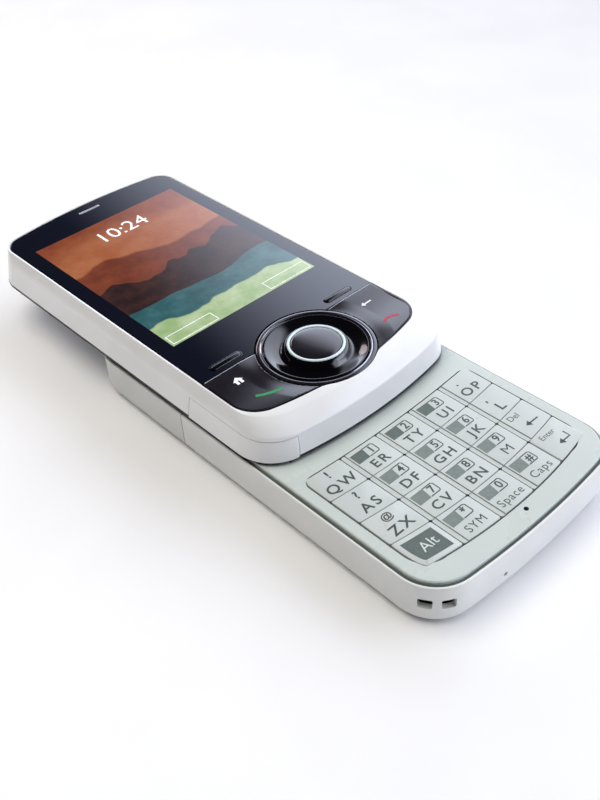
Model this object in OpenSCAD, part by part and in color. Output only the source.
// Slider phone, slid open, lying on its back.
// +X is to the right of the screen, +Y towards the earpiece, +Z out of the screen.
// The origin is at the centre of the keypad half's flat back. All sizes are millimetres.

/* [Both halves] */
// Width of each half
body_w = 53.2; // [52.4:0.2:58]
// Corner radius, seen from above
corner_r = 9; // [7:0.5:11]
// How far the display half slides
slide_travel = 40; // [36:0.5:40.5]
// Air gap between the halves
slide_gap = 0.4; // [0.3:0.05:0.8]
// Gap round a fixed piece in its pocket
fit_gap = 0.1; // [0.05:0.01:0.14]
// Gap round a moving piece in its opening
move_gap = 0.15; // [0.12:0.01:0.2]

/* [Keypad half] */
// Thickness, from the back to the deck
base_t = 10.1; // [9.6:0.1:12]
// Radius of its bowed ends
base_bow = 190; // [120:5:260]
// Side wall of the rear shells
shell_wall = 1.2; // [1:0.1:1.5]
// Back wall of the rear shells
floor_t = 1.1; // [1:0.1:1.5]
// Rounding of the back edges
back_edge_r = 2.6; // [1.5:0.1:3]
// Place of the seam between the rear shells, from the centre
cover_split = 17.5; // [15:0.5:18.5]
// Thickness of the deck plate
deck_t = 1.55; // [1.55:0.05:2]
// Inset of the deck plate from the side
deck_inset = 0.7; // [0.6:0.05:0.8]
// Height of the deck above the side shells
deck_step = 0.6; // [0.4:0.05:0.8]
// Wall of the inner frame
frame_wall = 1; // [0.8:0.1:1.4]
// Floor of the inner frame
frame_floor = 0.6; // [0.5:0.05:0.8]
// Thickness of the circuit board
board_t = 0.8; // [0.6:0.1:0.9]
// Thickness of the key mat
mat_t = 0.4; // [0.3:0.05:0.5]
// Thickness of the dome sheet
dome_t = 0.2; // [0.15:0.05:0.25]

/* [Keypad] */
// Width of the deck beside the keypad
pad_side = 3.85; // [3.6:0.05:5]
// Length of the keypad, down its middle
pad_l = 30.4; // [28:0.2:31]
// Place of the keypad's upper edge, from the keypad half's lower end
pad_top = 36.1; // [35.5:0.1:36.3]
// Rise of the top row's upper edge towards the sides
bow_top = 1; // [0.6:0.1:1.2]
// Rise of the bottom row's lower edge towards the sides
bow_low = 2.3; // [1.8:0.1:2.6]
// Width of an outer column, as a share of an inner one
outer_share = 0.966; // [0.94:0.01:1]
// Radius of the keypad's upper corners
pad_r_top = 1.8; // [1:0.1:3]
// Radius of the keypad's lower corners
pad_r_low = 5; // [3:0.1:6]
// Gap between keys
key_gap = 0.3; // [0.2:0.05:0.5]
// Height of the keys above the deck
key_rise = 0.15; // [0:0.05:0.2]
// Travel of a key
key_press = 0.3; // [0.2:0.05:0.3]

/* [Microphone, strap, side key and socket] */
// Radius of the microphone hole
mic_hole_r = 0.45; // [0.3:0.05:0.6]
// Place of the microphone, from the keypad half's lower end
mic_in = 4; // [3.9:0.05:4.1]
// Width of a strap hole
strap_w = 2.6; // [2:0.1:3]
// Height of a strap hole
strap_h = 2.2; // [1.8:0.1:2.6]
// Wall between the two strap holes
strap_bar = 1.6; // [1.4:0.1:2]
// Radius of the reset pinhole
pinhole_r = 0.45; // [0.3:0.05:0.6]
// Distance of the reset pinhole from the middle
pinhole_x = 9.7; // [6:0.1:14]
// Length of the volume key
volume_l = 13; // [11:0.5:14]
// Height of the volume key
volume_h = 2.6; // [2.2:0.1:3]
// Place of the volume key along the side
volume_y = 26.4; // [26:0.1:26.8]
// Width of the socket
usb_w = 7.7; // [7.7:0.1:7.9]
// Height of the socket
usb_h = 3.9; // [3.5:0.1:3.9]
// Depth of the socket
usb_depth = 9; // [7:0.5:10]
// Place of the socket along the side
usb_y = 38.8; // [38.7:0.1:39]

/* [Inside the keypad half] */
// Width of the battery
battery_w = 40; // [34:1:44]
// Length of the battery
battery_l = 40; // [34:1:41]
// Thickness of the battery
battery_t = 5; // [4.4:0.1:5.1]
// Width of the camera module
camera_w = 8.4; // [7:0.2:9]
// Radius of the camera window
window_r = 4; // [3.4:0.1:4.4]
// Thickness of the camera window
window_t = 0.7; // [0.5:0.1:0.7]
// Place of the camera, from the keypad half's upper end
camera_in = 10.5; // [10:0.5:12]
// Width of the ringer
speaker_w = 14; // [12:0.5:15]
// Length of the ringer
speaker_l = 10; // [8:0.5:11]
// Thickness of the ringer
speaker_t = 3; // [2.4:0.1:3.6]
// Width of the card holder
sim_w = 27; // [26:0.5:30]
// Length of the card holder
sim_l = 14; // [13:0.5:15]
// Thickness of the card holder
sim_t = 1.5; // [1.2:0.1:2]
// Distance of the ringer's middle from the side
speaker_side = 13.6; // [12:0.1:15]
// Distance of the ringer's middle from the upper end
speaker_in = 14.5; // [13:0.1:16]
// Distance of the screws from the side
screw_side = 6; // [5.6:0.1:6.4]
// Distance of the screws from the upper end
screw_in = 6.9; // [6.6:0.1:7.4]
// Radius of the screw heads
screw_head_r = 1.3; // [1.1:0.1:1.5]
// Height of the screw heads
screw_head_t = 0.6; // [0.5:0.05:0.7]
// Radius of the screw shanks
screw_r = 0.7; // [0.5:0.05:0.8]

/* [Slide track] */
// Distance of each channel's middle from the side
rail_side = 8.1; // [8:0.05:8.6]
// Sheet thickness of the track plate
rail_sheet = 0.4; // [0.3:0.05:0.4]
// Gap round a shoe in its channel
rail_clear = 0.1; // [0.05:0.01:0.12]
// Width of a shoe's head
shoe_w = 3.4; // [3:0.1:3.6]
// Thickness of a shoe's head
shoe_t = 0.4; // [0.3:0.05:0.4]
// Width of a shoe's neck
neck_w = 1.6; // [1.2:0.1:1.8]
// Length of a shoe
shoe_l = 16.7; // [14:0.1:16.7]
// Distance from the track to the keypad half's upper end
rail_in = 3.2; // [3.2:0.05:3.4]
// Thickness of the carrier plate
carrier_t = 0.6; // [0.5:0.05:0.7]
// Thickness of the square spring wire
wire_t = 0.5; // [0.4:0.02:0.56]
// Width of the flexible circuit
flex_w = 7; // [5:0.5:8]
// Thickness of the flexible circuit
flex_t = 0.12; // [0.1:0.01:0.16]

/* [Display half] */
// Thickness, from its underside to the front face
head_t = 7.9; // [7.7:0.1:9]
// Radius of its bowed ends
head_bow = 110; // [90:5:160]
// Rounding of its lower edges
head_edge = 0.45; // [0.3:0.05:0.6]
// Height of the crease above the underside
crease_h = 5.3; // [4.8:0.1:5.6]
// Inset of the crease
crease_in = 1.05; // [0.8:0.05:1.2]
// White rim round the dark front
rim = 0.45; // [0.4:0.05:0.6]
// Distance from the dark front to the side
face_side = 3.1; // [2.9:0.05:3.3]
// Distance from the dark front to the upper end
face_top_in = 2.1; // [2:0.1:2.4]
// Distance from the dark front to the lower end, beside the wheel
face_low_in = 6.6; // [6.4:0.1:6.8]
// Upper corner radius of the dark front
face_r_top = 4.5; // [3.5:0.1:5]
// Lower corner radius of the dark front
face_r_low = 6.5; // [5.5:0.1:7]
// Thickness of the lens
lens_t = 0.75; // [0.6:0.05:0.8]
// Width of the ledge under the lens
ledge = 0.6; // [0.5:0.05:0.8]
// Width of the screen
screen_w = 39.6; // [38:0.2:40]
// Length of the screen
screen_l = 52.8; // [51:0.2:53]
// Distance from the screen to the upper end
screen_in = 12.3; // [12.1:0.1:12.6]
// Distance from the screen to the lower end
screen_low = 37.9; // [37.5:0.1:40]
// Thickness of the display module
lcd_t = 2.4; // [2.2:0.05:2.4]
// Thickness of the shell's inner deck
inner_deck = 0.8; // [0.6:0.05:0.9]
// Width of the earpiece capsule
receiver_w = 12; // [8:0.5:14]
// Distance of the vibration motor's middle from the side
motor_side = 12.6; // [10:0.1:18]
// Distance of the vibration motor's middle from the upper end
motor_in = 31.5; // [20:0.5:40]
// Radius of the vibration motor
motor_r = 4; // [3:0.1:5]
// Width of the earpiece slot
ear_w = 6; // [5:0.1:8]
// Length of the earpiece slot
ear_l = 0.9; // [0.7:0.05:1.1]
// Distance from the earpiece slot to the upper end
ear_in = 5.2; // [5:0.1:5.4]

/* [Wheel and navigation keys] */
// Distance from the wheel's centre to the lower end
dial_in = 16.7; // [16.6:0.1:16.9]
// Radius of the wheel
wheel_r = 10.6; // [10.4:0.1:10.7]
// Radius of the ring round the wheel
surround_r = 12.2; // [12.1:0.05:12.3]
// Radius of the hub
hub_r = 5.95; // [5.8:0.05:6]
// Wall of the bright ring
ring_wall = 0.6; // [0.5:0.05:0.7]
// Radial running gap of the wheel on its hub
wheel_run = 0.08; // [0.05:0.01:0.1]
// Height of the bright ring above the front face
ring_rise = 0.95; // [0.7:0.05:1.2]
// Depth of the dish in the wheel
dish_d = 0.6; // [0.4:0.05:0.7]
// Distance from the seam above the navigation keys to the lower end
seam_in = 24.2; // [24:0.1:24.3]
// Gap at the seam above the navigation keys
seam_gap = 0.2; // [0.16:0.01:0.24]
// Length of a soft key
soft_w = 7.4; // [6.5:0.1:7.8]
// Width of a soft key
soft_l = 1.3; // [1.1:0.05:1.4]
// Distance of the soft keys from the middle
soft_x = 15.6; // [15.2:0.1:16]
// Distance from the soft keys to the lower end
soft_in = 26.35; // [26.3:0.05:26.5]
// Travel of the soft keys and the middle button
front_press = 0.25; // [0.15:0.05:0.25]
// Thickness of the navigation board
nav_board_t = 0.6; // [0.5:0.05:0.7]

/* [Card door and power key] */
// Distance from the card door's seam to the lower end
door_l = 26; // [25:0.5:28]
// Height of the card door
door_h = 4.7; // [4.2:0.1:4.9]
// Thickness of the card door
door_t = 1.2; // [1:0.05:1.3]
// Angle round the corner at which the card door ends
door_turn = 78; // [70:1:80]
// Radius of the card door's knuckle
knuckle_r = 0.7; // [0.6:0.05:0.75]
// Length of the power key
power_w = 7; // [5:0.5:8]
// Height of the power key
power_h = 1.6; // [1.2:0.1:1.6]
// Distance of the power key from the middle
power_x = 12; // [10:0.5:13]
// How far the power key stands out
power_rise = 0.45; // [0.3:0.05:0.6]

/* [Hidden] */
$fn = 48;
eps = 0.01;
corner_n = 9;
end_n = 8;
far = 200;

// Clearances that repeat: a piece on its seat, and a cut taken past a face
seat_gap = 0.05;
past = 1;

// Heights in the keypad half, from the deck down
deck_z = base_t;
under_z = base_t - deck_t;
side_z = base_t - deck_step;
mat_z = under_z - seat_gap - mat_t;
dome_z = mat_z - dome_t;
board_z = dome_z - board_t;
floor_z = board_z - frame_floor;
key_z = under_z + key_press;

// Lengths in the keypad half: it is as long as the display half, which the screen sets
body_l = screen_in + screen_l + screen_low;
half_l = body_l / 2;
pad_w = body_w - 2 * pad_side;
pad_y = pad_top - half_l;
mic_y = mic_in - half_l;
frame_in = shell_wall + move_gap;
inner_in = frame_in + frame_wall;

// Slide track: lengths and heights
stop_gap = 0.2;
rail_x = body_w / 2 - rail_side;
rail_hi = half_l - rail_in;
rail_lo = rail_hi - slide_travel - shoe_l - 2 * stop_gap;
channel = shoe_w / 2 + rail_clear;
rail_half = rail_x + channel + rail_sheet;
rail_core = rail_x - channel - rail_sheet;
cavity_z = under_z + rail_sheet;
shoe_z = cavity_z + rail_clear;
lip_z = shoe_z + shoe_t + rail_clear;
board_half = rail_x - 0.1;
board_end = 1.5;
ledge_x = board_half + 0.2;

// Heights in the display half
head_z = base_t + slide_gap;
face_z = head_z + head_t;
lens_top = face_z - seat_gap;
lens_z = lens_top - lens_t;
lcd_z = lens_z - seat_gap - lcd_t;
inner_z = lcd_z - seat_gap;
cell_z = inner_z - inner_deck;
carrier_z = head_z + fit_gap;
cell_low = carrier_z + carrier_t;
nav_top = inner_z + nav_board_t;
nav_dome = 0.2;
front_dome_r = 1.6;
nub_r = 0.8;
board_slack = 0.2;
receiver_low = 0.8;
receiver_in = 0.6;
receiver_top = 0.2;
grille_seat = 0.15;
press_z = nav_top + nav_dome + front_press + seat_gap;

// Places in the display half, from its own centre
face_w = body_w - 2 * face_side;
face_bow_hi = 130;
face_bow_lo = 75;
face_hi = half_l - face_top_in;
face_lo = face_low_in - half_l;
seam_y = seam_in - half_l;
dial_y = dial_in - half_l;
screen_y = half_l - screen_in - screen_l / 2;
lcd_edge_x = 1.9;
lcd_edge_low = 4.3;
lcd_edge_high = 2.6;
lcd_low = screen_y - screen_l / 2 - lcd_edge_low;
lcd_high = screen_y + screen_l / 2 + lcd_edge_high;
chin_r = 8;
soft_y = soft_in - half_l;
soft_rise = 0.1;
flange_z = lens_z - 0.7;
flange_t = 0.5;
flange_x = 0.5;
flange_y = 0.4;
ear_y = half_l - ear_in;
nav_board_hi = lcd_low - 0.4;
wheel_in = hub_r + wheel_run;
wheel_z = nav_top + 0.7;
skirt_r = wheel_r + 0.6;
lip_low = wheel_z + 0.7;
nav_key_z = lip_low - 0.1;
hinge_z = nav_key_z - 0.4;
hinge_y = dial_y - 0.9;
nub_dy = 4.2;
nav_x = 17.5;
nav_inner = 8.2;
nav_rise = 0.05;
rib_x = 2.5;
rib_y = 0.3;
rib_gap = 0.1;

// Places of the pieces behind the rear shells
side_draft = 0.12;
screw_x = body_w / 2 - screw_side;
screw_y = half_l - screw_in;
screw_l = 5;
window_ledge = 1.2;
speaker_x = body_w / 2 - speaker_side;
speaker_y = half_l - speaker_in;
slot_n = 5;
slot_pitch = 1.7;
slot_w = 0.8;
slot_l = 8;
volume_z = floor_z - 2;
volume_lip = 0.6;
volume_lip_z = 0.4;
volume_lip_t = 0.8;
volume_root = 0.5;
volume_rise = 0.45;
volume_room = 1;
volume_back = body_w / 2 - frame_in - frame_wall - move_gap;
volume_x = body_w / 2 - shell_wall - 0.2;
usb_z = floor_z - seat_gap - usb_h;
usb_x = body_w / 2 - shell_wall - move_gap - usb_depth + 1;
usb_skin = 0.35;
usb_tongue = 0.6;
usb_back = 1;
usb_tongue_in = 1;
frame_z = floor_t + 0.1;
join = 0.1;
screw_wall = 1;
screw_end = 0.2;
backing_t = 0.8;
backing_over = 1.5;
contact_gap = 0.2;
inner_slack = 0.15;
camera_seat = 0.15;
sim_gap = 1;
mic_wall = 0.75;
battery_hi = cover_split - 4.2;
battery_lo = battery_hi - battery_l;
contact_w = 12;
contact_l = 2.2;
contact_h = 2;
contact_y = battery_hi + 0.5;
bay_wall = 1;
bay_y = cover_split - 0.6;
bay_half = body_w / 2 - inner_in + join;
antenna_l = 4.8;
antenna_h = 3.4;
antenna_x0 = -13;
antenna_x1 = 17;
strap_z = floor_z - strap_h;
strap_turn = 45;
strap_reach = 4;
strap_room = 9;
pinhole_z = floor_z - 2.6;
deck_edge = 0.25;

// Springs and flexible circuit between the halves
pin_r = 0.55;
pin_x = 7;
pin_y = rail_hi - slide_travel - 6;
boss_x = 14.6;
boss_y = pin_y + slide_travel / 2;
shoe_y = rail_hi - stop_gap - shoe_l;
flex_slot_x = flex_w / 2 + 0.3;
flex_slot_y = 0.6;
spring_run = 0.08;
spring_z = cavity_z + 0.25;
pin_gap = 0.1;
flex_low = rail_lo + 11;
flex_high = flex_low + 33;
flex_bend = flex_low + 44;
flex_z0 = cavity_z + 0.12;
flex_z1 = carrier_z - 0.12;

// Cross-section of the wheel, and the power key
cone_r = wheel_in + 1.15;
rim_in = wheel_r - 0.35;
rim_h = 0.15;
cone_top_w = 0.25;
hub_foot = 2.5;
button_h = 0.6;
stem_r = 1;
cone_z = face_z + ring_rise - 0.15;
carrier_in = 1.6;
power_z = (cell_low + cell_z) / 2 + 0.1;
power_wall = face_hi - ledge - 1.3;
power_lip_x = 0.5;
power_lip_z = 0.4;
power_lip_t = 0.6;

// Corner of the display half that the card door wraps
corner_x = body_w / 2 - corner_r;
corner_y = head_bow - half_l - sqrt(pow(head_bow - corner_r, 2) - corner_x * corner_x);
knuckle_at = corner_r - knuckle_r - 0.05;
knuckle_x = -corner_x - knuckle_at * cos(door_turn);
knuckle_y = corner_y - knuckle_at * sin(door_turn);
door_z = head_z + 0.2;
card_y = door_l - half_l - 11;
card_w = 12;
card_z = door_z + 1.4;
card_t = 1.2;

// ---------- Outlines ----------

// One bowed end with round corners: w wide, its middle at y = tip
function end_pts(w, tip, r, bow) =
  let (fx = w / 2 - r,
       cy = tip - bow,
       fy = cy + sqrt(pow(bow - r, 2) - fx * fx),
       a = atan2(fy - cy, fx))
  concat(
    [for (i = [0:corner_n]) let (t = a * i / corner_n) [fx + r * cos(t), fy + r * sin(t)]],
    [for (i = [1:end_n - 1]) let (t = a + (180 - 2 * a) * i / end_n) [bow * cos(t), cy + bow * sin(t)]],
    [for (i = [0:corner_n]) let (t = 180 - a + a * i / corner_n) [-fx + r * cos(t), fy + r * sin(t)]]
  );

// A closed outline from its upper end (hi) and its lower end (lo)
function outline(w, hi, r_hi, bow_hi, lo, r_lo, bow_lo) =
  concat(end_pts(w, hi, r_hi, bow_hi),
         [for (p = end_pts(w, -lo, r_lo, bow_lo)) [-p[0], -p[1]]]);

module base_plan(i) {
  polygon(outline(body_w - 2 * i, half_l - i, corner_r - i, base_bow - i,
                  i - half_l, corner_r - i, base_bow - i));
}

module head_plan(i) {
  polygon(outline(body_w - 2 * i, half_l - i, corner_r - i, head_bow - i,
                  i - half_l, corner_r - i, head_bow - i));
}

// Outline of the dark front, drawn in by i
module face_plan(i) {
  polygon(outline(face_w - 2 * i, face_hi - i, face_r_top - i, face_bow_hi - i,
                  face_lo + i, face_r_low - i, face_bow_lo - i));
  translate([0, dial_y]) circle(r = surround_r - i);
}

module slab(z0, z1) {
  translate([0, 0, z0]) linear_extrude(z1 - z0) children();
}

module box(x0, x1, y0, y1, z0, z1) {
  translate([x0, y0, z0]) cube([x1 - x0, y1 - y0, z1 - z0]);
}

// A display-half piece, drawn about that half's own centre and slid open
module slid() {
  translate([0, slide_travel, 0]) children();
}

// ---------- Keypad half ----------

// Outer form of the two rear shells together: flat back, rounded back edges, upright sides
module base_form() {
  edge_n = 5;
  hull() {
    for (k = [0:edge_n])
      let (t = 90 * k / edge_n)
        slab(back_edge_r * (1 - cos(t)), back_edge_r * (1 - cos(t)) + eps)
          base_plan(back_edge_r * (1 - sin(t)));
    slab(side_z - eps, side_z) base_plan(side_draft);
  }
}

// Hollow inside the rear shells, with the step at their upper edge that the deck sits in
module base_hollow() {
  slab(floor_t, side_z + past) base_plan(shell_wall);
  slab(under_z - seat_gap, side_z + past) base_plan(deck_inset - move_gap);
}

module screw_places() {
  for (s = [-1, 1]) {
    translate([s * screw_x, screw_y, 0]) children();
  }
}

module rear_housing() {
  color([0.82, 0.84, 0.83])
    difference() {
      base_form();
      base_hollow();
      box(-far, far, -far, cover_split + move_gap / 2, -1, far);
      // camera window and the way through it
      translate([0, half_l - camera_in, -1]) {
        cylinder(r = window_r + fit_gap, h = 1 + window_t + 0.1);
        cylinder(r = window_r - window_ledge, h = floor_t + 2);
      }
      // ringer slots
      for (k = [0:slot_n - 1])
        translate([-speaker_x, speaker_y + (k - (slot_n - 1) / 2) * slot_pitch, 0])
          box(-slot_l / 2, slot_l / 2, -slot_w / 2, slot_w / 2, -past, floor_t + past);
      screw_places() {
        translate([0, 0, -past]) cylinder(r = screw_head_r + fit_gap, h = past + screw_head_t + seat_gap);
        translate([0, 0, -past]) cylinder(r = screw_r + fit_gap, h = floor_t + 2 * past);
      }
      // openings for the side key and the socket
      box(body_w / 4, far, volume_y - volume_l / 2 - move_gap, volume_y + volume_l / 2 + move_gap,
          volume_z - volume_h / 2 - move_gap, volume_z + volume_h / 2 + move_gap);
      box(body_w / 4, far, usb_y - usb_w / 2 - fit_gap, usb_y + usb_w / 2 + fit_gap,
          usb_z - fit_gap, usb_z + usb_h + fit_gap);
    }
}

module strap_holes() {
  fx = body_w / 2 - corner_r;
  fy = base_bow - half_l - sqrt(pow(base_bow - corner_r, 2) - fx * fx);
  pitch = (strap_w + strap_bar) / corner_r * 90 / PI;
  for (s = [-1, 1])
    translate([-fx, fy, strap_z])
      rotate([0, 0, strap_turn + 180 + s * pitch])
        translate([corner_r - strap_reach, -strap_w / 2, 0])
          cube([2 * strap_reach, strap_w, strap_h]);
}

module battery_cover() {
  color([0.80, 0.82, 0.81])
    difference() {
      base_form();
      base_hollow();
      box(-far, far, cover_split - move_gap / 2, far, -1, far);
      strap_holes();
      translate([-pinhole_x, 0, pinhole_z])
        rotate([90, 0, 0]) cylinder(r = pinhole_r, h = far);
    }
}

module deck_plate() {
  color([0.80, 0.86, 0.83])
    difference() {
      hull() {
        slab(under_z, deck_z - deck_edge) base_plan(deck_inset);
        slab(deck_z - eps, deck_z) base_plan(deck_inset + deck_edge);
      }
      slab(under_z - 1, deck_z + 1) pad_plan(move_gap);
      box(-rail_half - fit_gap, rail_half + fit_gap, rail_lo - fit_gap, rail_hi + fit_gap,
          under_z - 1, deck_z + 1);
      translate([0, mic_y, under_z - 1]) cylinder(r = mic_hole_r, h = deck_t + 2);
    }
}

module mid_frame() {
  color([0.30, 0.31, 0.33])
    difference() {
      union() {
        difference() {
          slab(frame_z, under_z) base_plan(frame_in);
          slab(floor_t, floor_z) base_plan(inner_in);
          slab(board_z, under_z + past) base_plan(inner_in);
        }
        // ledges that carry the track plate
        for (s = [-1, 1])
          intersection() {
            box(min(s * ledge_x, s * far), max(s * ledge_x, s * far), rail_lo, rail_hi,
                board_z - join, under_z);
            slab(0, deck_z) base_plan(frame_in);
          }
        // wall behind the battery bay
        box(-bay_half, bay_half, bay_y, bay_y + bay_wall, frame_z, floor_z + join);
        // backing of the volume key
        box(volume_back - backing_t, volume_back,
            volume_y - volume_l / 2 - backing_over, volume_y + volume_l / 2 + backing_over,
            frame_z, floor_z + join);
        screw_places() translate([0, 0, frame_z])
          cylinder(r = screw_r + screw_wall, h = floor_z + join - frame_z);
      }
      screw_places() cylinder(r = screw_r + seat_gap, h = screw_l + screw_end);
      // way through for the battery contacts
      box(-contact_w / 2 - contact_gap, contact_w / 2 + contact_gap,
          contact_y - contact_gap, contact_y + contact_l + contact_gap, floor_z - join, board_z + past);
      // notches for the volume key, the socket and the strap
      box(volume_back, far, volume_y - volume_l / 2 - volume_room, volume_y + volume_l / 2 + volume_room,
          volume_z - volume_h / 2 - volume_lip, volume_z + volume_h / 2 + volume_lip);
      box(usb_x - fit_gap, far, usb_y - usb_w / 2 - fit_gap, usb_y + usb_w / 2 + fit_gap,
          usb_z - fit_gap, usb_z + usb_h + seat_gap - eps);
      box(-far, -body_w / 2 + strap_room, -far, -half_l + strap_room, strap_z - past, floor_z);
    }
}

module main_board() {
  color([0.10, 0.36, 0.22]) {
    slab(board_z, dome_z)
      intersection() {
        base_plan(inner_in + inner_slack);
        union() {
          translate([-far, -far]) square([2 * far, far + rail_lo - 4 * fit_gap]);
          translate([-board_half, -far]) square([2 * board_half, far + rail_hi - board_end]);
        }
      }
    // battery contact block
    box(-contact_w / 2, contact_w / 2, contact_y, contact_y + contact_l, floor_z - contact_h, board_z);
  }
}

module shield_cans() {
  can_in = flex_w / 2 + 1.5;
  can_out = board_half - 2;
  can_y = rail_lo + 3;
  can_l_left = 20;
  can_l_right = 27;
  color([0.75, 0.76, 0.78]) {
    box(-can_out, -can_in, can_y, can_y + can_l_left, dome_z, under_z - seat_gap);
    box(can_in, can_out, can_y, can_y + can_l_right, dome_z, under_z - seat_gap);
  }
}

// The keypad's outline: bowed edges, small upper corners and large lower ones
function edge_y(line, x) =
  pad_y - pad_l * line / 4 + (bow_top + (bow_low - bow_top) * line / 4) * pow(2 * x / pad_w, 2);

function arc_pts(cx, cy, r, a0, n) =
  [for (i = [0:n]) let (t = a0 + 90 * i / n) [cx + r * cos(t), cy + r * sin(t)]];

module pad_plan(g) {
  h = pad_w / 2 + g;
  rt = pad_r_top + g;
  rl = pad_r_low + g;
  yt = edge_y(0, h - rt) + g - rt;
  yl = edge_y(4, h - rl) - g + rl;
  n = 6;
  polygon(concat(
    arc_pts(h - rt, yt, rt, 0, n),
    [for (i = [1:n - 1]) let (x = (h - rt) * (1 - 2 * i / n)) [x, edge_y(0, x) + g]],
    arc_pts(rt - h, yt, rt, 90, n),
    arc_pts(rl - h, yl, rl, 180, n),
    [for (i = [1:n - 1]) let (x = (h - rl) * (2 * i / n - 1)) [x, edge_y(4, x) - g]],
    arc_pts(h - rl, yl, rl, 270, n)
  ));
}

// Left edge of column c, of five columns whose outer two are a little narrower
function col_x(c) =
  let (unit = pad_w / (3 + 2 * outer_share))
  (c <= 0 ? 0 : c >= 5 ? pad_w : unit * (outer_share + c - 1)) - pad_w / 2;

module key(c, r, tint) {
  x0 = col_x(c) + (c > 0 ? key_gap / 2 : 0);
  x1 = col_x(c + 1) - (c < 4 ? key_gap / 2 : 0);
  n = 4;
  color(tint)
    slab(key_z, deck_z + key_rise)
      intersection() {
        pad_plan(0);
        polygon(concat(
          [for (i = [0:n]) let (x = x0 + (x1 - x0) * i / n)
            [x, edge_y(r + 1, x) + (r < 3 ? key_gap / 2 : -past)]],
          [for (i = [0:n]) let (x = x1 - (x1 - x0) * i / n)
            [x, edge_y(r, x) - (r > 0 ? key_gap / 2 : -past)]]
        ));
      }
}

dome_r = 2.2;
stud_w = 6;
stud_l = 4.8;

pale_key = [0.80, 0.85, 0.82];
dark_key = [0.45, 0.48, 0.47];

module each_key() {
  for (c = [0:4])
    for (r = [0:3])
      translate([(col_x(c) + col_x(c + 1)) / 2, edge_y(r + 0.5, (col_x(c) + col_x(c + 1)) / 2), 0])
        children();
}

module keypad_domes() {
  color([0.85, 0.85, 0.80]) {
    slab(dome_z, dome_z + dome_t / 2) pad_plan(0);
    each_key() translate([0, 0, dome_z]) cylinder(r = dome_r, h = dome_t);
  }
}

module key_mat() {
  color([0.88, 0.90, 0.88]) {
    slab(mat_z, mat_z + mat_t / 2) pad_plan(0);
    each_key() translate([-stud_w / 2, -stud_l / 2, mat_z]) cube([stud_w, stud_l, mat_t]);
  }
}

module battery() {
  color([0.20, 0.22, 0.25])
    box(-battery_w / 2, battery_w / 2, battery_lo, battery_hi,
        floor_z - seat_gap - battery_t, floor_z - seat_gap);
}

module sim_holder() {
  color([0.70, 0.71, 0.72])
    box(-sim_w / 2, sim_w / 2, battery_lo - sim_gap - sim_l, battery_lo - sim_gap,
        floor_z - sim_t, floor_z);
}

module usb_socket() {
  color([0.74, 0.75, 0.77]) {
    difference() {
      box(usb_x, usb_x + usb_depth, usb_y - usb_w / 2, usb_y + usb_w / 2, usb_z, usb_z + usb_h);
      box(usb_x + 2 * usb_back, usb_x + usb_depth + past,
          usb_y - usb_w / 2 + usb_skin, usb_y + usb_w / 2 - usb_skin,
          usb_z + usb_skin, usb_z + usb_h - usb_skin);
    }
    box(usb_x + usb_back, usb_x + usb_depth - usb_tongue_in, usb_y - usb_w / 4, usb_y + usb_w / 4,
        usb_z + usb_h / 2, usb_z + usb_h / 2 + usb_tongue);
  }
}

module loudspeaker() {
  color([0.15, 0.15, 0.16])
    box(-speaker_x - speaker_w / 2, -speaker_x + speaker_w / 2,
        speaker_y - speaker_l / 2, speaker_y + speaker_l / 2,
        floor_t + seat_gap, floor_t + seat_gap + speaker_t);
}

module camera_module() {
  color([0.12, 0.12, 0.13])
    box(-camera_w / 2, camera_w / 2, half_l - camera_in - camera_w / 2, half_l - camera_in + camera_w / 2,
        floor_t + camera_seat, floor_z);
}

module camera_window() {
  color([0.25, 0.27, 0.30])
    translate([0, half_l - camera_in, seat_gap]) cylinder(r = window_r, h = window_t);
}

module microphone() {
  color([0.60, 0.60, 0.58])
    translate([0, mic_y, dome_z]) cylinder(r = mic_hole_r + mic_wall, h = under_z - seat_gap - dome_z);
}

module antenna() {
  color([0.86, 0.84, 0.78])
    intersection() {
      box(antenna_x0, antenna_x1, -far, -half_l + inner_in + antenna_l, floor_z - antenna_h, floor_z);
      slab(0, floor_z) base_plan(inner_in + inner_slack + seat_gap);
    }
}

// ---------- Slide track ----------

module slide_rails() {
  color([0.66, 0.67, 0.69]) {
    difference() {
      box(-rail_half, rail_half, rail_lo, rail_hi, under_z, cavity_z);
      box(-flex_slot_x, flex_slot_x, flex_low - flex_slot_y, flex_low + flex_slot_y,
          under_z - past, cavity_z + past);
    }
    for (s = [-1, 1]) {
      translate([s * rail_x, 0, 0]) {
        for (side = [-1, 1]) {
          // upright wall of the channel, then its lip
          translate([side * (channel + rail_sheet / 2), 0, 0])
            box(-rail_sheet / 2, rail_sheet / 2, rail_lo, rail_hi, under_z, lip_z + rail_sheet);
          translate([side * (channel + neck_w / 2 + rail_clear) / 2, 0, 0])
            box(-(channel - neck_w / 2 - rail_clear) / 2 - eps, (channel - neck_w / 2 - rail_clear) / 2 + eps,
                rail_lo, rail_hi, lip_z, lip_z + rail_sheet);
        }
        // end stops of the channel
        for (y = [rail_lo, rail_hi - stop_gap / 2])
          box(-channel - eps, channel + eps, y, y + stop_gap / 2, cavity_z - eps, lip_z + eps);
      }
      translate([s * boss_x, boss_y, cavity_z - eps]) cylinder(r = pin_r, h = lip_z - cavity_z);
    }
  }
}

module slide_shoes() {
  color([0.92, 0.92, 0.90])
    for (s = [-1, 1])
      translate([s * rail_x, 0, 0]) {
        box(-shoe_w / 2, shoe_w / 2, shoe_y, shoe_y + shoe_l, shoe_z, shoe_z + shoe_t);
        box(-neck_w / 2, neck_w / 2, shoe_y, shoe_y + shoe_l, shoe_z + shoe_t - eps, carrier_z);
      }
}

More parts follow.
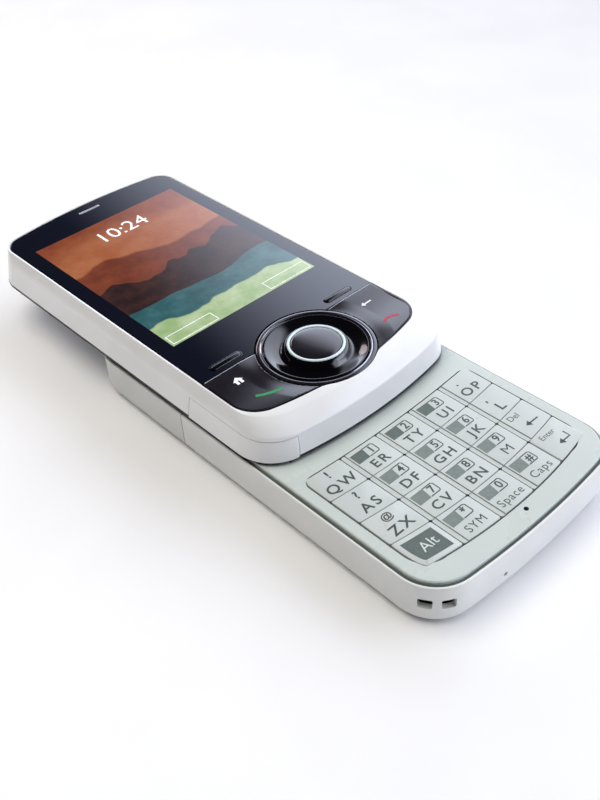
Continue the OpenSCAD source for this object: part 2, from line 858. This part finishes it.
// The flexible circuit: up from the board, along the track plate, round a rolling bend,
// back under the carrier plate and up into the display half
module slide_flex() {
  bend_r = (flex_z1 - flex_z0) / 2;
  color([0.80, 0.50, 0.15])
    translate([-flex_w / 2, 0, 0]) rotate([90, 0, 90]) linear_extrude(flex_w) {
      translate([flex_low - flex_t / 2, dome_z]) square([flex_t, flex_z0 + flex_t - dome_z]);
      translate([flex_low - flex_t / 2, flex_z0]) square([flex_bend - flex_low + flex_t / 2, flex_t]);
      translate([flex_high - flex_t / 2, flex_z1 - flex_t]) {
        square([flex_bend - flex_high + flex_t / 2, flex_t]);
        square([flex_t, cell_z - seat_gap - flex_z1 + flex_t]);
      }
      intersection() {
        translate([flex_bend, flex_z0 + bend_r])
          difference() {
            circle(r = bend_r);
            circle(r = bend_r - flex_t);
          }
        translate([flex_bend - eps, 0]) square([far, far]);
      }
    }
}

// One spring of flat wire: a loop with an arm to the pin on the track plate and one to the pin
// on the carrier, which passes the first at mid travel
module wire_ring(x, y, r) {
  translate([x, y])
    difference() {
      circle(r = r + wire_t / 2);
      circle(r = r - wire_t / 2);
    }
}

module wire_arm(x0, y0, x1, y1) {
  translate([x0, y0])
    rotate(atan2(y1 - y0, x1 - x0))
      translate([0, -wire_t / 2])
        square([sqrt(pow(x1 - x0, 2) + pow(y1 - y0, 2)), wire_t]);
}

module assist_spring() {
  loop_r = 2.4;
  eye_r = pin_r + wire_t / 2 + spring_run;
  loop_x = (boss_x + pin_x) / 2;
  open_y = pin_y + slide_travel;
  loop_y = (boss_y + open_y) / 2;
  color([0.55, 0.56, 0.58])
    for (s = [0, 1])
      mirror([s, 0, 0])
        slab(spring_z, spring_z + wire_t) {
          wire_ring(boss_x, boss_y, eye_r);
          wire_ring(pin_x, open_y, eye_r);
          wire_ring(loop_x, loop_y, loop_r);
          wire_arm(boss_x + eye_r, boss_y, loop_x + loop_r, loop_y);
          wire_arm(pin_x - eye_r, open_y, loop_x - loop_r, loop_y);
        }
}

module carrier_plate() {
  slid()
    color([0.60, 0.61, 0.63]) {
      difference() {
        slab(carrier_z, cell_low) head_plan(carrier_in + fit_gap);
        translate([0, flex_high - slide_travel, 0])
          box(-flex_slot_x, flex_slot_x, -flex_slot_y, flex_slot_y, carrier_z - past, cell_low + past);
      }
      for (s = [-1, 1])
        translate([s * pin_x, pin_y, cavity_z + pin_gap])
          cylinder(r = pin_r, h = carrier_z - cavity_z - pin_gap + eps);
    }
}

module volume_key() {
  color([0.78, 0.80, 0.79]) {
    box(volume_x - volume_root, body_w / 2 + volume_rise, volume_y - volume_l / 2, volume_y + volume_l / 2,
        volume_z - volume_h / 2, volume_z + volume_h / 2);
    box(volume_x - volume_lip_t, volume_x,
        volume_y - volume_l / 2 - volume_lip, volume_y + volume_l / 2 + volume_lip,
        volume_z - volume_h / 2 - volume_lip_z, volume_z + volume_h / 2 + volume_lip_z);
  }
}

module housing_screws() {
  color([0.45, 0.46, 0.48])
    screw_places() {
      translate([0, 0, seat_gap]) cylinder(r = screw_head_r, h = screw_head_t);
      translate([0, 0, seat_gap]) cylinder(r = screw_r, h = screw_l);
    }
}

// ---------- Display half ----------

// Outer form: upright lower band, a crease, then a face drawn in to the white rim
module head_form() {
  hull() {
    slab(head_z, head_z + eps) head_plan(head_edge);
    slab(head_z + head_edge, head_z + head_edge + eps) head_plan(0);
    slab(head_z + crease_h, head_z + crease_h + eps) head_plan(crease_in);
    slab(face_z - eps, face_z)
      polygon(outline(face_w + 2 * rim, face_hi + rim, face_r_top + rim, face_bow_hi,
                      dial_y - surround_r - rim, chin_r, face_bow_lo));
  }
}

// Space of the card door, drawn back by g from its surroundings
module door_space(g) {
  difference() {
    box(-far, far, -far, door_l - half_l - g, door_z + g, door_z + door_h - g);
    slab(0, far) head_plan(door_t - g);
    // the corner beyond the door's end
    translate([-corner_x, corner_y, 0])
      rotate([0, 0, 180 + door_turn])
        translate([0, -g, 0]) cube([far, far, far]);
    box(-corner_x, far, -far, far, 0, far);
  }
  translate([knuckle_x, knuckle_y, door_z + g]) cylinder(r = knuckle_r + fit_gap - g, h = door_h - 2 * g);
}

module display_shell() {
  slid()
    color([0.96, 0.96, 0.95])
      difference() {
        head_form();
        slab(lens_z, far) face_plan(-seat_gap);
        slab(wheel_z - seat_gap, far) intersection() {
          face_plan(-move_gap);
          translate([-far, seam_y - far]) square([2 * far, far]);
        }
        slab(inner_z, lens_z + eps) face_plan(ledge);
        slab(cell_low, cell_z) face_plan(ledge);
        slab(0, cell_low + eps) head_plan(carrier_in);
        door_space(0);
        // memory card slot behind the door
        box(-far, -face_w / 2 + ledge + 0.1, card_y - card_w / 2, card_y + card_w / 2,
            card_z, card_z + card_t);
        power_space(power_w / 2 + move_gap, power_h / 2 + move_gap, far);
      }
}

// Window for the power key, from the cell out through the upper end
module power_space(half_w, half_h, reach) {
  box(power_x - half_w, power_x + half_w, power_wall, reach,
      power_z - half_h, power_z + half_h);
}

module power_button() {
  slid()
    color([0.80, 0.81, 0.82]) {
      intersection() {
        power_space(power_w / 2, power_h / 2, far);
        slab(0, far) head_plan(-power_rise);
      }
      box(power_x - power_w / 2 - power_lip_x, power_x + power_w / 2 + power_lip_x,
          power_wall - power_lip_t, power_wall + join,
          power_z - power_h / 2 - power_lip_z, power_z + power_h / 2 + power_lip_z);
    }
}

module card_door() {
  slid()
    color([0.94, 0.94, 0.93])
      intersection() {
        head_form();
        door_space(fit_gap);
      }
}

// Opening or solid with round ends, w by l, for a soft key or the earpiece
module pill(w, l) {
  r = l / 2;
  square([w - l, l], center = true);
  for (s = [-1, 1]) translate([s * (w / 2 - r), 0]) circle(r = r);
}

module lens() {
  slid()
    color([0.10, 0.11, 0.15])
      slab(lens_z, lens_top)
        difference() {
          face_plan(0);
          translate([-far, seam_y + seam_gap / 2 - far]) square([2 * far, far]);
          translate([0, dial_y]) circle(r = surround_r + move_gap);
          for (s = [-1, 1])
            translate([s * soft_x, soft_y]) pill(soft_w + 2 * move_gap, soft_l + 2 * move_gap);
          translate([0, ear_y]) pill(ear_w + 2 * fit_gap, ear_l + 2 * fit_gap);
        }
}

module lcd_module() {
  slid()
    color([0.45, 0.30, 0.22])
      box(-screen_w / 2 - lcd_edge_x, screen_w / 2 + lcd_edge_x, lcd_low, lcd_high, lcd_z, lcd_z + lcd_t);
}

module nav_board() {
  slid()
    color([0.12, 0.34, 0.22]) {
      slab(inner_z, nav_top) intersection() {
        face_plan(ledge + board_slack);
        translate([-far, nav_board_hi - far]) square([2 * far, far]);
      }
      for (s = [-1, 1]) {
        translate([s * soft_x, soft_y, nav_top - eps]) cylinder(r = front_dome_r, h = nav_dome + eps);
        for (d = [-1, 1])
          translate([s * nav_x, hinge_y + d * nub_dy, nav_top - eps])
            cylinder(r = front_dome_r, h = nav_dome + eps);
      }
      translate([0, dial_y, nav_top - eps]) cylinder(r = front_dome_r, h = nav_dome + eps);
    }
}

module receiver() {
  slid()
    color([0.20, 0.20, 0.21])
      box(-receiver_w / 2, receiver_w / 2, lcd_high + receiver_low, face_hi - ledge - receiver_in,
          inner_z, lens_z - receiver_top);
}

module earpiece_grille() {
  slid()
    color([0.78, 0.79, 0.82])
      slab(lens_z - grille_seat, lens_top - seat_gap) translate([0, ear_y]) pill(ear_w, ear_l);
}

module vibration_motor() {
  slid()
    color([0.70, 0.71, 0.72])
      translate([body_w / 2 - motor_side, half_l - motor_in, cell_low + seat_gap])
        cylinder(r = motor_r, h = cell_z - cell_low - 3 * seat_gap);
}

module softkey(s) {
  slid()
    color([0.07, 0.07, 0.08]) {
      slab(flange_z + flange_t - seat_gap, face_z + soft_rise) translate([s * soft_x, soft_y])
        pill(soft_w, soft_l);
      slab(flange_z, flange_z + flange_t) translate([s * soft_x, soft_y])
        pill(soft_w + 2 * flange_x, soft_l + 2 * flange_y);
      translate([s * soft_x, soft_y, press_z]) cylinder(r = nub_r, h = flange_z + join - press_z);
    }
}

module softkey_left() { softkey(-1); }
module softkey_right() { softkey(1); }

// A rocker beside the wheel: it tips about its middle rib on to one of two domes
module nav_key(s) {
  slid()
    color([0.17, 0.15, 0.18]) {
      slab(nav_key_z, face_z + nav_rise)
        difference() {
          intersection() {
            polygon(outline(face_w, face_hi, face_r_top, face_bow_hi, face_lo, face_r_low, face_bow_lo));
            translate([s > 0 ? nav_inner : -far, -far])
              square([far - nav_inner, seam_y - seam_gap / 2 + far]);
          }
          translate([0, dial_y]) circle(r = surround_r + move_gap);
        }
      box(s * nav_x - rib_x, s * nav_x + rib_x, hinge_y - rib_y, hinge_y + rib_y,
          nav_top + rib_gap, nav_key_z + eps);
      for (d = [-1, 1])
        translate([s * nav_x, hinge_y + d * nub_dy, press_z])
          cylinder(r = nub_r, h = nav_key_z - press_z + eps);
    }
}

module nav_key_left() { nav_key(-1); }
module nav_key_right() { nav_key(1); }

module ring(r0, r1, z0, z1) {
  translate([0, dial_y, z0])
    difference() {
      cylinder(r = r1, h = z1 - z0);
      translate([0, 0, -past]) cylinder(r = r0, h = z1 - z0 + 2 * past);
    }
}

module nav_surround() {
  slid()
    color([0.14, 0.13, 0.15]) {
      ring(wheel_r + move_gap, surround_r, lip_low, face_z + nav_rise);
      ring(skirt_r + move_gap, surround_r, wheel_z, lip_low + eps);
    }
}

// Cross-section of the wheel: a dished face between its rim and the cone round the hub
module scroll_wheel() {
  dish_n = 8;
  mid_z = face_z + rim_h;
  slid()
    color([0.05, 0.05, 0.06])
      translate([0, dial_y, 0]) rotate_extrude()
        polygon(concat(
          [[wheel_in, wheel_z], [skirt_r, wheel_z], [skirt_r, lip_low - fit_gap], [wheel_r, lip_low - fit_gap],
           [wheel_r, mid_z - rim_h]],
          [for (i = [0:dish_n])
            let (t = i / dish_n)
            [rim_in + (cone_r - rim_in) * t, mid_z - dish_d * sin(180 * t)]],
          [[wheel_in + cone_top_w, cone_z], [wheel_in, cone_z]]
        ));
}

module hub_ring() {
  slid()
    color([0.80, 0.88, 0.90]) {
      ring(hub_r - ring_wall, hub_r, nav_top, face_z + ring_rise);
      ring(hub_r - ring_wall, hub_r + hub_foot, nav_top, wheel_z - fit_gap);
    }
}

module center_button() {
  button_r = hub_r - ring_wall - move_gap;
  dome_h = 0.45;
  ball_r = (button_r * button_r + dome_h * dome_h) / (2 * dome_h);
  top_z = face_z + ring_rise - join;
  slid()
    color([0.16, 0.14, 0.17])
      translate([0, dial_y, 0]) {
        translate([0, 0, press_z + button_h]) cylinder(r = button_r, h = top_z - press_z - button_h + eps);
        intersection() {
          translate([0, 0, top_z]) cylinder(r = button_r, h = dome_h + past);
          translate([0, 0, top_z + dome_h - ball_r]) sphere(r = ball_r, $fn = 96);
        }
        translate([0, 0, press_z]) cylinder(r = stem_r, h = button_h + join);
      }
}

// ---------- Drawing ----------

deck_plate();
mid_frame();
rear_housing();
battery_cover();
main_board();
shield_cans();
keypad_domes();
key_mat();
battery();
sim_holder();
usb_socket();
loudspeaker();
camera_module();
camera_window();
microphone();
antenna();
slide_rails();
slide_flex();
assist_spring();
volume_key();
housing_screws();
key(0, 0, pale_key);  // key_qw
key(1, 0, pale_key);  // key_er
key(2, 0, pale_key);  // key_ty
key(3, 0, pale_key);  // key_ui
key(4, 0, pale_key);  // key_op
key(0, 1, pale_key);  // key_as
key(1, 1, pale_key);  // key_df
key(2, 1, pale_key);  // key_gh
key(3, 1, pale_key);  // key_jk
key(4, 1, pale_key);  // key_l
key(0, 2, pale_key);  // key_zx
key(1, 2, pale_key);  // key_cv
key(2, 2, pale_key);  // key_bn
key(3, 2, pale_key);  // key_m
key(4, 2, pale_key);  // key_del
key(0, 3, dark_key);  // key_alt
key(1, 3, pale_key);  // key_sym
key(2, 3, pale_key);  // key_space
key(3, 3, pale_key);  // key_caps
key(4, 3, pale_key);  // key_enter
display_shell();
carrier_plate();
slide_shoes();
lens();
lcd_module();
nav_board();
receiver();
earpiece_grille();
vibration_motor();
softkey_left();
softkey_right();
nav_key_left();
nav_key_right();
nav_surround();
scroll_wheel();
hub_ring();
center_button();
card_door();
power_button();
